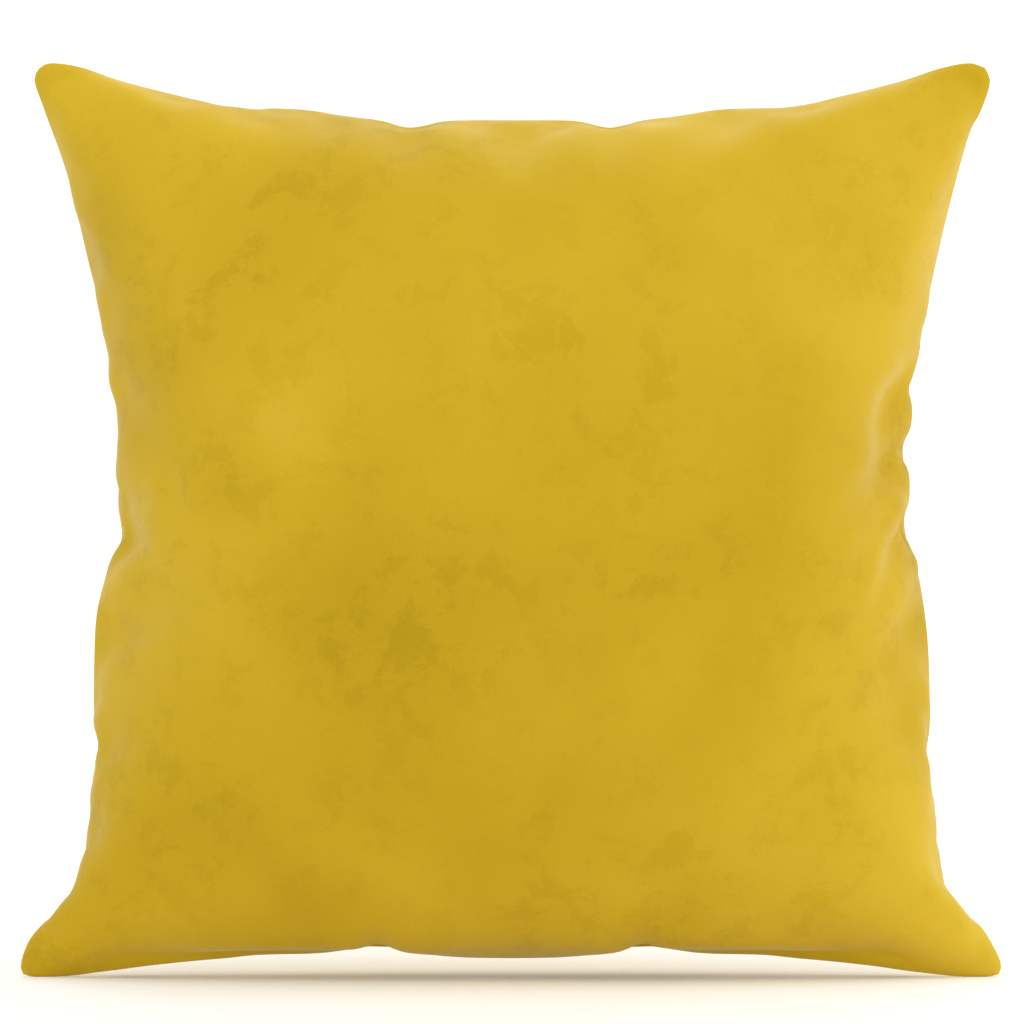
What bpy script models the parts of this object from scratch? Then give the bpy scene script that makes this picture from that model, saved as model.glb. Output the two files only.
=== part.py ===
"""A 400 mm velvet throw pillow with a hidden zip and a fibre-filled insert.

It stands on its two lower corners. +X is its right, +Y its back and +Z up, in metres.
The origin is on the floor, under the middle of the seam.
"""

import math

import bmesh
import bpy
from mathutils import Vector

# The whole pillow
PUFF = 0.075  # from the seam plane to the crown of each face
CROWN_POWER = 0.6  # lower is boxier, higher is more pointed at the seam
SEAM_GAP = 0.00015  # half the space between two faces that touch
CLEARANCE = 0.0003

# The seam line of its right half, x and z: top and bottom from the middle, the side from the bottom
TOP_EDGE = (
    (0.000, 0.3460), (0.060, 0.3465), (0.100, 0.3510), (0.130, 0.3555),
    (0.157, 0.3618), (0.175, 0.3675), (0.185, 0.3690), (0.1915, 0.3665),
)
BOTTOM_EDGE = (
    (0.000, 0.0095), (0.090, 0.0088), (0.117, 0.0075), (0.148, 0.0043), (0.162, 0.0012),
    (0.172, -0.0060), (0.182, -0.0120), (0.191, -0.0080), (0.196, 0.0005), (0.198, 0.0045),
)
SIDE_EDGE = (
    (0.198, 0.0045), (0.190, 0.020), (0.176, 0.034), (0.171, 0.052), (0.169, 0.090),
    (0.167, 0.140), (0.1615, 0.175), (0.159, 0.210), (0.161, 0.240), (0.170, 0.283),
    (0.180, 0.322), (0.189, 0.350), (0.1935, 0.3615), (0.1915, 0.3665),
)
CORNER_TURN = 10  # power that keeps a corner's diagonal inset close to the corner
CURVE_STEPS = 12
SEAM_CORNER = 0.96  # a seam cuts the corner beyond this share of the way to it
CROWDING = 0.8  # how much closer the lines of a grid stand near its edge, from 0 to 1

# The velvet cover
VELVET = 0.0012
SEAM_ALLOWANCE = 0.010
COVER_WALL_AT_SEAM = 0.0025
COVER_CELLS = 18
SEAM_THREAD_INSET = 0.007
THREAD_RADIUS = 0.00025
EDGING_INSET = 0.0126
EDGING_RADIUS = 0.0006
SEAM_END_X = 0.170  # the seam starts here, beside the zip

# The slot between the two lips of the zip
LIP_GAP = 0.0042
LIPS_PART_X = 0.1535
LIPS_MEET_X = 0.1690
LIP_FADE = 0.4

# The zip, by the height of its chain
CHAIN_Z = 0.0186
COIL_RADIUS = 0.00095
COIL_Y = 0.00145
COIL_END_X = 0.1412
TAPE_END_X = 0.150
TAPE = 0.0006
TAPE_INNER_Y = 0.0005
TAPE_OUTER_Y = LIP_GAP + VELVET + CLEARANCE + TAPE
TAPE_Z = CHAIN_Z + 0.0014
TAPE_LEG_Z = CHAIN_Z - 0.0034
STOP_START_X = 0.1415
STOP_END_X = 0.1445
STOP_HALF_HEIGHT = 0.00115
TOP_STOP_OUTER_Y = 0.0026
BOTTOM_STOP_HALF_Y = 0.0024
TACK_START_X = 0.1465
TACK_END_X = 0.1485
TACK_HALF_Y = 0.0036
TACK_DEPTH = 0.001
STITCH_Z = CHAIN_Z - 0.001

# The slider, by its own middle
SLIDER_X = 0.136
SLIDER_HALF_LENGTH = 0.00475
SLIDER_HALF_WIDTH = 0.0038
SLIDER_WALL = 0.0008
SLIDER_OUTER_Z = CHAIN_Z - 0.0025
SLIDER_INNER_Z = CHAIN_Z + 0.0031
BLADE_HALF_Y = 0.0002
BLADE_START = 0.0012
CROWN_HALF_Y = 0.0008
CROWN_HALF_LENGTH = 0.0026
CROWN_WALL = 0.0009
CROWN_HEIGHT = 0.0035
OVERLAP = 0.0002  # how far one block of a cast piece runs into the next

# The pull tab, by its pin
PIN_Z = SLIDER_OUTER_Z - 0.00135
PIN_RADIUS = 0.0006
ARM_INNER_Y = 0.0012
ARM_OUTER_Y = 0.0020
ARM_LENGTH = 0.0050
ARM_STEP = 0.00005  # how much thinner the arms are than the tab, on each side
TAB_START = 0.0040
TAB_LENGTH = 0.0185
TAB_HALF_WIDTH = 0.0025
TAB_THICKNESS = 0.0010
TAB_CORNER = 0.0015

# The care label, from its sewn end: how far in from the seam, and how far out of the seam plane
LABEL_PATH = (
    (0.0078, 0.0018), (0.0095, 0.0020), (0.0120, 0.0075),
    (0.0150, 0.0170), (0.0190, 0.0260), (0.0240, 0.0323),
)
LABEL_FROM_Z = 0.105
LABEL_TO_Z = 0.130
LABEL = 0.0003

# The insert, whose own seam line keeps clear of the zip and doesn't fill the corners
INSERT_TOP_EDGE = (
    (0.000, 0.3280), (0.060, 0.3285), (0.100, 0.3330), (0.130, 0.3375),
    (0.155, 0.3435), (0.170, 0.3460),
)
INSERT_BOTTOM_EDGE = (
    (0.000, 0.0275), (0.090, 0.0268), (0.130, 0.0250), (0.150, 0.0235),
    (0.158, 0.0260), (0.163, 0.0300),
)
INSERT_SIDE_EDGE = (
    (0.163, 0.030), (0.156, 0.045), (0.152, 0.090), (0.149, 0.140), (0.143, 0.175),
    (0.141, 0.210), (0.143, 0.240), (0.152, 0.283), (0.161, 0.320), (0.168, 0.340),
    (0.170, 0.346),
)
INSERT_CLEARANCE = 0.0015
INSERT_CLOTH = 0.0005
INSERT_ALLOWANCE = 0.006
INSERT_WALL_AT_SEAM = 0.0012
INSERT_CELLS = 14
INSERT_THREAD_INSET = 0.0043
INSERT_THREAD_END_X = 0.100
CLOSING_HALF_LENGTH = 0.080
CLOSING_RADIUS = 0.0003
CLOSING_STEP = 2  # it takes every second point of the seam line
FILL_INSET = 0.009
FILL_CLEARANCE = 0.001


def material(name, colour, roughness, metallic=0.0):
    """A plain Principled material from a linear colour."""
    made = bpy.data.materials.new(name)
    made.use_nodes = True
    shader = made.node_tree.nodes["Principled BSDF"]
    shader.inputs["Base Color"].default_value = (*colour, 1.0)
    shader.inputs["Roughness"].default_value = roughness
    shader.inputs["Metallic"].default_value = metallic
    return made


def add_object(name, data, finish):
    """Put a mesh or a curve in the scene with its material."""
    data.materials.append(finish)
    made = bpy.data.objects.new(name, data)
    bpy.context.scene.collection.objects.link(made)
    return made


def mesh_object(name, bm, finish, smooth=False):
    """Turn a bmesh into an object, with its faces pointing out."""
    bmesh.ops.recalc_face_normals(bm, faces=bm.faces)
    if bm.calc_volume(signed=True) < 0:
        bmesh.ops.reverse_faces(bm, faces=bm.faces)
    mesh = bpy.data.meshes.new(name)
    bm.to_mesh(mesh)
    bm.free()
    if smooth:
        mesh.shade_smooth()
    return add_object(name, mesh, finish)


# ---- The outline and the crowned face inside it


def smooth_curve(points):
    """A Catmull-Rom curve through the points, with the distance run at each of its own points."""
    points = [Vector(point) for point in points]
    ends = [2 * points[0] - points[1], *points, 2 * points[-1] - points[-2]]
    curve = []
    for before, start, end, after in zip(ends, ends[1:], ends[2:], ends[3:]):
        for step in range(CURVE_STEPS):
            t = step / CURVE_STEPS
            square = (2 * before - 5 * start + 4 * end - after) * t**2
            cube = (3 * start - before - 3 * end + after) * t**3
            curve.append(0.5 * (2 * start + (end - before) * t + square + cube))
    curve.append(points[-1])
    run = [0.0]
    for start, end in zip(curve, curve[1:]):
        run.append(run[-1] + (end - start).length)
    return curve, run


def mirrored(half_edge):
    """A whole edge from its right half, left to right."""
    return [(-x, z) for x, z in reversed(half_edge[1:])] + list(half_edge)


def outline(top, bottom, side):
    """The three curves of a seam line that is the same left and right."""
    return smooth_curve(mirrored(top)), smooth_curve(mirrored(bottom)), smooth_curve(side)


COVER = outline(TOP_EDGE, BOTTOM_EDGE, SIDE_EDGE)
INSERT = outline(INSERT_TOP_EDGE, INSERT_BOTTOM_EDGE, INSERT_SIDE_EDGE)


def point_along(curve_and_run, fraction):
    """The point at a fraction of the curve's length."""
    curve, run = curve_and_run
    wanted = fraction * run[-1]
    after = next((i for i in range(1, len(run)) if run[i] >= wanted), len(run) - 1)
    share = (wanted - run[after - 1]) / (run[after] - run[after - 1])
    return curve[after - 1].lerp(curve[after], min(share, 1.0))


def seam_point(seam_line, u, v):
    """A point of the seam line, where u or v is -1 or 1: u runs left to right, v bottom to top."""
    top, bottom, side = seam_line
    if abs(v) == 1:
        return point_along(top if v > 0 else bottom, (1 + u) / 2)
    beside = point_along(side, (1 + v) / 2)
    return Vector((u * beside.x, beside.y))


def face_point(seam_line, u, v, inset):
    """x and z anywhere on a face whose edge is moved in from the seam line, and flat on the floor."""
    right = (1 + u) / 2
    upper = (1 + v) / 2
    point = upper * seam_point(seam_line, u, 1) + (1 - upper) * seam_point(seam_line, u, -1)
    point += right * seam_point(seam_line, 1, v) + (1 - right) * seam_point(seam_line, -1, v)
    for corner_u, share_u in ((1, right), (-1, 1 - right)):
        for corner_v, share_v in ((1, upper), (-1, 1 - upper)):
            point -= share_u * share_v * seam_point(seam_line, corner_u, corner_v)
    x = point.x - inset * inward(u, v)
    z = point.y - inset * inward(v, u)
    return x, max(z, inset)


def inward(along, across):
    """How far an inset moves a point: evenly over the face, but only at the corners of an edge."""
    on_edge = abs(across) ** CORNER_TURN
    return along * (1 - on_edge) + along * abs(along) ** (CORNER_TURN - 1) * on_edge


def crown(u, v):
    """How full a face is, from 0 on the seam to 1 in the middle."""
    return (max(0.0, 1 - u * u) * max(0.0, 1 - v * v)) ** CROWN_POWER


def lips_apart(u, v):
    """Half the gap at the seam: the width of the zip's slot along the bottom edge."""
    beside_zip = (LIPS_MEET_X - abs(seam_point(COVER, u, -1).x)) / (LIPS_MEET_X - LIPS_PART_X)
    near_edge = max(0.0, 1 - (1 + v) / LIP_FADE)
    return SEAM_GAP + (LIP_GAP - SEAM_GAP) * min(1.0, max(0.0, beside_zip)) * near_edge


def crowded(value):
    """Where an evenly spaced line of a grid goes, so that the lines crowd towards the edges."""
    return round(CROWDING * math.sin(math.pi / 2 * value) + (1 - CROWDING) * value, 6)


def face_grid(bm, seam_line, cells, inset, depth_at):
    """A square grid bent to a face. Each vertex keeps its u and v for the rings that follow."""
    place = bm.verts.layers.float_vector.get("place") or bm.verts.layers.float_vector.new("place")
    made = bmesh.ops.create_grid(bm, x_segments=cells, y_segments=cells, size=1.0)
    for vert in made["verts"]:
        u, v = (crowded(value) for value in vert.co.xy)
        x, z = face_point(seam_line, u, v, inset)
        vert.co = x, depth_at(u, v), z
        vert[place] = u, v, 0


def ring(bm, seam_line, edges, inset, depth_at):
    """Extrude the open edge of the shell to the next ring of the seam allowance."""
    place = bm.verts.layers.float_vector["place"]
    made = bmesh.ops.extrude_edge_only(bm, edges=edges)["geom"]
    for vert in (item for item in made if isinstance(item, bmesh.types.BMVert)):
        u, v, _ = vert[place]
        x, z = face_point(seam_line, round(u, 6), round(v, 6), inset)
        vert.co = x, depth_at(u, v), z
    return [item for item in made if isinstance(item, bmesh.types.BMEdge)]


def sewn_panel(name, side, seam_line, finish, cells, cloth, puff, allowance, wall_at_seam, gap_at):
    """Half of a sewn case: a crowned shell with its seam allowance turned in. side is -1 in front."""
    bm = bmesh.new()
    hollow = puff - 2 * cloth

    def outside(u, v):
        return side * (gap_at(u, v) + puff * crown(u, v))

    def inside(u, v):
        return side * (gap_at(u, v) + cloth + hollow * crown(u, v))

    face_grid(bm, seam_line, cells, 0.0, outside)
    edge = [e for e in bm.edges if e.is_boundary]
    edge = ring(bm, seam_line, edge, allowance, lambda u, v: side * gap_at(u, v))
    edge = ring(bm, seam_line, edge, allowance, inside)
    ring(bm, seam_line, edge, wall_at_seam, inside)
    face_grid(bm, seam_line, cells, wall_at_seam, inside)
    bmesh.ops.remove_doubles(bm, verts=bm.verts, dist=1e-6)
    return mesh_object(name, bm, finish, smooth=True)


# ---- Threads, bars and boxes


def rod(name, points, radius, finish, sides=1):
    """A round thread or cord through the points, with closed ends."""
    curve = bpy.data.curves.new(name, "CURVE")
    curve.dimensions = "3D"
    curve.bevel_depth = radius
    curve.bevel_resolution = sides
    curve.use_fill_caps = True
    spline = curve.splines.new("POLY")
    spline.points.add(len(points) - 1)
    for target, point in zip(spline.points, points):
        target.co = (*point, 1)
    return add_object(name, curve, finish)


def seam_route(seam_line, inset, y, end_x, cells):
    """The points of a seam that runs up one side, over the top and down the other, at one inset."""
    steps = [crowded(2 * i / cells - 1) for i in range(cells + 1)]
    around = [(u, -1) for u in reversed(steps[: cells // 2])]
    around += [(-1, v) for v in steps[1:]]
    around += [(u, 1) for u in steps[1:]]
    around += [(1, v) for v in reversed(steps[:-1])]
    around += [(u, -1) for u in reversed(steps[cells // 2 + 1 : -1])]
    points = []
    for u, v in around:
        x, z = face_point(seam_line, u, v, inset)
        on_corner = min(abs(u), abs(v)) > SEAM_CORNER
        if not on_corner and (v > -1 or abs(x) >= end_x):
            points.append((x, y, z))
    return points


def box(bm, low, high):
    """Add a box between two corners to the bmesh."""
    low = Vector(low)
    high = Vector(high)
    made = bmesh.ops.create_cube(bm, size=1.0)["verts"]
    bmesh.ops.scale(bm, verts=made, vec=high - low)
    bmesh.ops.translate(bm, verts=made, vec=(low + high) / 2)
    return made


def box_object(name, low, high, finish):
    """One box as an object of its own."""
    bm = bmesh.new()
    box(bm, low, high)
    return mesh_object(name, bm, finish)


def joined_boxes(name, boxes, origin, finish):
    """Boxes that run into each other, made one body, with its origin at its joint."""
    whole = None
    for index, (low, high) in enumerate(boxes):
        piece = box_object(name if index == 0 else f"{name}_block_{index}", low, high, finish)
        piece.location = origin
        if whole is None:
            whole = piece
            continue
        piece.hide_render = True
        piece.display_type = "WIRE"
        union = whole.modifiers.new(f"block_{index}", "BOOLEAN")
        union.operation = "UNION"
        union.object = piece
    return whole


# ---- The parts


def cover(velvet, thread, edging):
    """The two velvet panels, the lockstitch that joins them and the overlocked raw edge."""
    for name, side in (("cover_front_panel", -1), ("cover_back_panel", 1)):
        sewn_panel(
            name, side, COVER, velvet, COVER_CELLS, VELVET, PUFF, SEAM_ALLOWANCE,
            COVER_WALL_AT_SEAM, lips_apart,
        )
    thread_y = SEAM_GAP + VELVET + CLEARANCE + THREAD_RADIUS
    for name, side in (("seam_needle_thread", -1), ("seam_bobbin_thread", 1)):
        route = seam_route(COVER, SEAM_THREAD_INSET, side * thread_y, SEAM_END_X, COVER_CELLS)
        rod(name, route, THREAD_RADIUS, thread)
    route = seam_route(COVER, EDGING_INSET, 0.0, SEAM_END_X, COVER_CELLS)
    rod("seam_edging", route, EDGING_RADIUS, edging)


def zip_chain(tape, coil, stop, thread):
    """The two tapes with their coils, the stops at the ends and the stitching that holds them."""
    for name, side in (("front", -1), ("back", 1)):
        bm = bmesh.new()
        leg_y = TAPE_OUTER_Y - TAPE
        top_z = TAPE_Z + TAPE
        profile = (
            (TAPE_INNER_Y, TAPE_Z), (leg_y, TAPE_Z), (leg_y, TAPE_LEG_Z),
            (TAPE_OUTER_Y, TAPE_LEG_Z), (TAPE_OUTER_Y, top_z), (TAPE_INNER_Y, top_z),
        )
        start = bm.faces.new([bm.verts.new((-TAPE_END_X, side * y, z)) for y, z in profile])
        made = bmesh.ops.extrude_face_region(bm, geom=[start])["geom"]
        moved = [item for item in made if isinstance(item, bmesh.types.BMVert)]
        bmesh.ops.translate(bm, verts=moved, vec=(2 * TAPE_END_X, 0, 0))
        mesh_object(f"zip_tape_{name}", bm, tape)

        ends = [(x, side * COIL_Y, CHAIN_Z) for x in (-COIL_END_X, COIL_END_X)]
        rod(f"zip_coil_{name}", ends, COIL_RADIUS, coil)

        near, far = sorted((side * TAPE_INNER_Y, side * TOP_STOP_OUTER_Y))
        low = STOP_START_X, near, CHAIN_Z - STOP_HALF_HEIGHT
        high = STOP_END_X, far, CHAIN_Z + STOP_HALF_HEIGHT
        box_object(f"zip_top_stop_{name}", low, high, stop)

        stitch_y = side * (TAPE_OUTER_Y + CLEARANCE + THREAD_RADIUS)
        ends = [(x, stitch_y, STITCH_Z) for x in (-TACK_END_X, TACK_END_X)]
        rod(f"zip_stitch_{name}", ends, THREAD_RADIUS, thread)

    low = -STOP_END_X, -BOTTOM_STOP_HALF_Y, CHAIN_Z - STOP_HALF_HEIGHT
    high = -STOP_START_X, BOTTOM_STOP_HALF_Y, CHAIN_Z + STOP_HALF_HEIGHT
    box_object("zip_bottom_stop", low, high, stop)
    for name, near, far in (("left", -TACK_END_X, -TACK_START_X), ("right", TACK_START_X, TACK_END_X)):
        low = near, -TACK_HALF_Y, TAPE_Z - CLEARANCE - TACK_DEPTH
        high = far, TACK_HALF_Y, TAPE_Z - CLEARANCE
        box_object(f"zip_bar_tack_{name}", low, high, thread)


def zip_slider(metal):
    """The slider: two plates held by the blade between the coils, with its rims and the crown for the pull."""
    half = SLIDER_HALF_LENGTH
    width = SLIDER_HALF_WIDTH
    outer = SLIDER_OUTER_Z
    plate = outer + SLIDER_WALL
    rim_top = TAPE_Z - CLEARANCE
    lid = SLIDER_INNER_Z - SLIDER_WALL
    crown_low = outer - CROWN_HEIGHT
    crown_bar = crown_low + SLIDER_WALL
    boxes = [
        ((-half, -width, outer), (half, width, plate)),
        ((-half + OVERLAP, -width, plate - OVERLAP), (half - OVERLAP, -width + SLIDER_WALL, rim_top)),
        ((-half + OVERLAP, width - SLIDER_WALL, plate - OVERLAP), (half - OVERLAP, width, rim_top)),
        ((BLADE_START, -BLADE_HALF_Y, plate - OVERLAP), (half - OVERLAP, BLADE_HALF_Y, lid + OVERLAP)),
        ((-half, -width, lid), (half, width, SLIDER_INNER_Z)),
    ]
    foot = CROWN_HALF_LENGTH - CROWN_WALL
    crown_y = CROWN_HALF_Y
    boxes += [
        ((-CROWN_HALF_LENGTH, -crown_y, crown_low), (-foot, crown_y, outer + OVERLAP)),
        ((foot, -crown_y, crown_low), (CROWN_HALF_LENGTH, crown_y, outer + OVERLAP)),
        ((-foot - OVERLAP, -crown_y, crown_low), (foot + OVERLAP, crown_y, crown_bar)),
    ]
    joined_boxes("zip_slider", boxes, (SLIDER_X, 0, 0), metal)


def zip_pull(metal):
    """The pull tab, lying along the closed chain, with its origin on its pin."""
    bm = bmesh.new()
    half = TAB_THICKNESS / 2
    low = -TAB_LENGTH, -TAB_HALF_WIDTH, -half
    high = -TAB_START, TAB_HALF_WIDTH, half
    box(bm, low, high)
    upright = [e for e in bm.edges if abs(e.verts[0].co.z - e.verts[1].co.z) > half]
    bmesh.ops.bevel(
        bm, geom=upright, offset=TAB_CORNER, offset_type="OFFSET", segments=3,
        profile=0.5, affect="EDGES", material=-1,
    )
    tab = mesh_object("zip_pull", bm, metal)
    tab.location = SLIDER_X, 0, PIN_Z
    pieces = []
    for name, side in (("front", -1), ("back", 1)):
        near, far = sorted((side * ARM_INNER_Y, side * ARM_OUTER_Y))
        low = -ARM_LENGTH, near, ARM_STEP - half
        high = 0.0, far, half - ARM_STEP
        pieces.append(box_object(f"zip_pull_arm_{name}", low, high, metal))
    bm = bmesh.new()
    made = bmesh.ops.create_cone(
        bm, cap_ends=True, segments=12, radius1=PIN_RADIUS, radius2=PIN_RADIUS,
        depth=2 * ARM_OUTER_Y + OVERLAP,
    )["verts"]
    turned = Vector((0, 0, 1)).rotation_difference(Vector((0, 1, 0))).to_matrix()
    bmesh.ops.rotate(bm, verts=made, matrix=turned)
    pieces.append(mesh_object("zip_pull_pin", bm, metal))
    for piece in pieces:
        piece.location = tab.location
        piece.hide_render = True
        piece.display_type = "WIRE"
        union = tab.modifiers.new(piece.name, "BOOLEAN")
        union.operation = "UNION"
        union.object = piece


def care_label(ribbon):
    """A blank ribbon sewn into the left seam, lying between the cover and the insert."""
    bm = bmesh.new()
    rows = []
    for inset, out in LABEL_PATH:
        row = []
        for z in (LABEL_FROM_Z, LABEL_TO_Z):
            side = min(COVER[2][0], key=lambda point: abs(point.y - z))
            row.append(bm.verts.new((inset - side.x, -out, z)))
        rows.append(row)
    for near, far in zip(rows, rows[1:]):
        bm.faces.new((near[0], near[1], far[1], far[0]))
    label = mesh_object("care_label", bm, ribbon)
    solid = label.modifiers.new("ribbon", "SOLIDIFY")
    solid.thickness = LABEL
    solid.offset = 0.0


def insert(cotton, thread, fibre):
    """The insert: two case panels, the threads that close them and the fill."""
    puff = PUFF - VELVET - INSERT_CLEARANCE
    for name, side in (("insert_case_front", -1), ("insert_case_back", 1)):
        sewn_panel(
            name, side, INSERT, cotton, INSERT_CELLS, INSERT_CLOTH, puff,
            INSERT_ALLOWANCE, INSERT_WALL_AT_SEAM, lambda u, v: SEAM_GAP,
        )
    thread_y = SEAM_GAP + INSERT_CLOTH + CLEARANCE + THREAD_RADIUS
    route = seam_route(INSERT, INSERT_THREAD_INSET, -thread_y, INSERT_THREAD_END_X, INSERT_CELLS)
    rod("insert_seam_thread", route, THREAD_RADIUS, thread)
    below = CLEARANCE + 2 * CLOSING_RADIUS
    closed = [point for point in INSERT[1][0] if abs(point.x) <= CLOSING_HALF_LENGTH]
    route = [(point.x, 0, point.y - below) for point in closed[::CLOSING_STEP]]
    rod("insert_closing_stitch", route, CLOSING_RADIUS, thread)

    bm = bmesh.new()
    fill_puff = puff - INSERT_CLOTH - FILL_CLEARANCE
    for side in (-1, 1):
        face_grid(
            bm, INSERT, INSERT_CELLS, FILL_INSET, lambda u, v: side * fill_puff * crown(u, v)
        )
    bmesh.ops.remove_doubles(bm, verts=bm.verts, dist=1e-6)
    mesh_object("fibre_fill", bm, fibre, smooth=True)


def main():
    for old in list(bpy.data.objects):
        bpy.data.objects.remove(old)
    velvet = material("yellow velvet", (0.584, 0.386, 0.020), 0.9)
    thread = material("yellow polyester thread", (0.50, 0.34, 0.03), 0.6)
    edging = material("overlock thread", (0.60, 0.44, 0.08), 0.7)
    tape = material("woven zip tape", (0.52, 0.36, 0.03), 0.8)
    coil = material("nylon zip coil", (0.55, 0.40, 0.05), 0.4)
    metal = material("painted zinc", (0.55, 0.38, 0.03), 0.35, 0.0)
    stop = material("zinc stop", (0.60, 0.58, 0.52), 0.35, 1.0)
    ribbon = material("satin ribbon", (0.85, 0.85, 0.83), 0.5)
    cotton = material("white cotton", (0.80, 0.79, 0.76), 0.9)
    white_thread = material("white thread", (0.85, 0.85, 0.82), 0.6)
    fibre = material("polyester fibre", (0.88, 0.88, 0.87), 0.95)
    cover(velvet, thread, edging)
    zip_chain(tape, coil, stop, thread)
    zip_slider(metal)
    zip_pull(metal)
    care_label(ribbon)
    insert(cotton, white_thread, fibre)


if __name__ == "__main__":
    main()
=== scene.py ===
"""A velvet throw pillow with a hidden zip and a fibre-filled insert, built on its CAD frame.

An add-on run as a script: each operator models one piece or one group of like pieces.
It stands upright with its front towards -Y. Lengths are in metres.
"""

import math

import bmesh
import bpy
from bpy.props import FloatProperty, IntProperty, PointerProperty
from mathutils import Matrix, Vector, noise
from mathutils.bvhtree import BVHTree


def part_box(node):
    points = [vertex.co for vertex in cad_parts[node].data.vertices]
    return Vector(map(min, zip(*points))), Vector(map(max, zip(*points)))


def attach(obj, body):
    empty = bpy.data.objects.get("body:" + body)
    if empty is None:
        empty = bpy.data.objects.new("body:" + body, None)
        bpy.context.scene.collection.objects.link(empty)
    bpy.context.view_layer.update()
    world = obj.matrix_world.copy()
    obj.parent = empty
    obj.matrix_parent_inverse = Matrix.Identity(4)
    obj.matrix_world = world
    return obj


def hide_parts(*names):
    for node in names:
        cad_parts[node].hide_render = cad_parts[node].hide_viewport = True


bl_info = {
    "name": "Throw Pillow",
    "version": (1, 0, 0),
    "blender": (4, 5, 0),
    "location": "View3D > Sidebar > Pillow",
    "description": "Models a zipped velvet throw pillow on its CAD frame",
    "category": "Add Mesh",
}

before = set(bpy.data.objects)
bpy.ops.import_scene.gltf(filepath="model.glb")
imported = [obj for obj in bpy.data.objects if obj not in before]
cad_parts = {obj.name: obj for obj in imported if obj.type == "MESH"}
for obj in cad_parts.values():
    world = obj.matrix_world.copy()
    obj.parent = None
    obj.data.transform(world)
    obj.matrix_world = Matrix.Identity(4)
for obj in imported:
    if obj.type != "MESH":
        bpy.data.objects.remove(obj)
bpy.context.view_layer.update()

FRONT, BACK = -1, 1
SIDES = ((FRONT, "front"), (BACK, "back"))

# The sewn outline in millimetres, x and z, from left to right and from bottom to top
TOP_EDGE = (
    (-190.5, 367), (-186, 369), (-174, 367.4), (-157, 361.7), (-133, 355.6), (-114, 351.6),
    (-84, 350.2), (-55, 346.5), (0, 346), (55, 346.5), (84, 350.2), (114, 351.6), (133, 355.6),
    (157, 361.6), (173, 366.8), (185, 369), (191.5, 367),
)
BOTTOM_EDGE = (
    (-197, 1), (-192, 0), (-178, 0.4), (-165, 2.1), (-145, 4.9), (-117, 7.6), (-88, 9.4),
    (0, 7.8), (88, 9.4), (117, 7.6), (145, 4.8), (165, 1.8), (180, 0.2), (192, 0), (197, 1),
)
LEFT_EDGE = (
    (-197, 1), (-198, 5), (-195, 14), (-189, 21.5), (-182, 27), (-176.5, 33), (-172.5, 45),
    (-169.8, 68), (-168.8, 95), (-168.4, 125), (-167.4, 146), (-163.5, 163), (-159.8, 180),
    (-158.4, 203), (-159.5, 230), (-164, 261), (-171, 290), (-179, 323), (-188.5, 350),
    (-192.5, 362), (-190.5, 367),
)
RIGHT_EDGE = (
    (197, 1), (198, 5), (195, 12), (190, 20), (183, 26), (177, 32), (174, 40), (172, 50),
    (170.4, 70), (169.3, 110), (168.2, 137), (165.4, 158), (162.4, 173), (161.2, 195),
    (161.5, 213), (162.3, 230), (163.8, 247), (169, 276), (177, 311), (185, 340),
    (189.5, 349), (193.5, 361), (191.5, 367),
)
# Where the seam is drawn in: place along the edge, depth and half width, in millimetres
PUCKERS = {
    "top": ((-106, 1.4, 5), (-40.5, 3.4, 9), (40.5, 3.4, 9), (108, 1.0, 5)),
    "bottom": ((-52.5, 4.0, 17), (52.5, 4.0, 17)),
    "left": ((93, 2.6, 8), (178.5, 3.4, 7), (208, 1.2, 6)),
    "right": ((90, 2.8, 8), (182, 4.0, 7), (212.5, 4.6, 6), (239, 2.4, 6)),
}
# Folds of the front face: x and z of both ends, depth and half width, in millimetres
FOLDS = (
    (160, 182, 139, 139, 3.6, 4.2), (157, 212, 131, 186, 2.6, 5.5), (151, 176, 124, 152, 1.8, 6.0),
    (158, 238, 140, 226, 1.4, 5.0), (-156, 179, -136, 160, 2.2, 6.0), (-135, 200, -128, 181, 1.2, 4.0),
    (-165, 93, -146, 100, 1.4, 6.0), (166, 91, 148, 97, 1.4, 6.0),
)
# Dents of the front face beside the notches in the seam, given in the same way
DENTS = (
    (-41, 345, -40, 318, 2.2, 9.0), (41, 345, 39, 318, 2.2, 9.0), (-53, 8, -54, 27, 3.2, 7.0),
    (53, 8, 54, 27, 3.2, 7.0),
)
# How high the cloth stands beside a fold, as a share of its depth, and how many half widths away
FOLD_RIDGE = 0.55
RIDGE_PLACE = 1.9
# How fast a fold fades beyond its start and towards its end
START_FADE = 40
END_FADE = 4
# The strip of a panel, by v, that turns under the pillow to the zip, and its rounds of smoothing
UNDER_V = -0.88
UNDER_ROUNDS = 8
# From the middle of the pillow out to where rays towards it start
RAY_START = 0.2
# The middle of the pillow, x and z
MIDDLE = (0, 0.19)


# ---- Sizes


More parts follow.
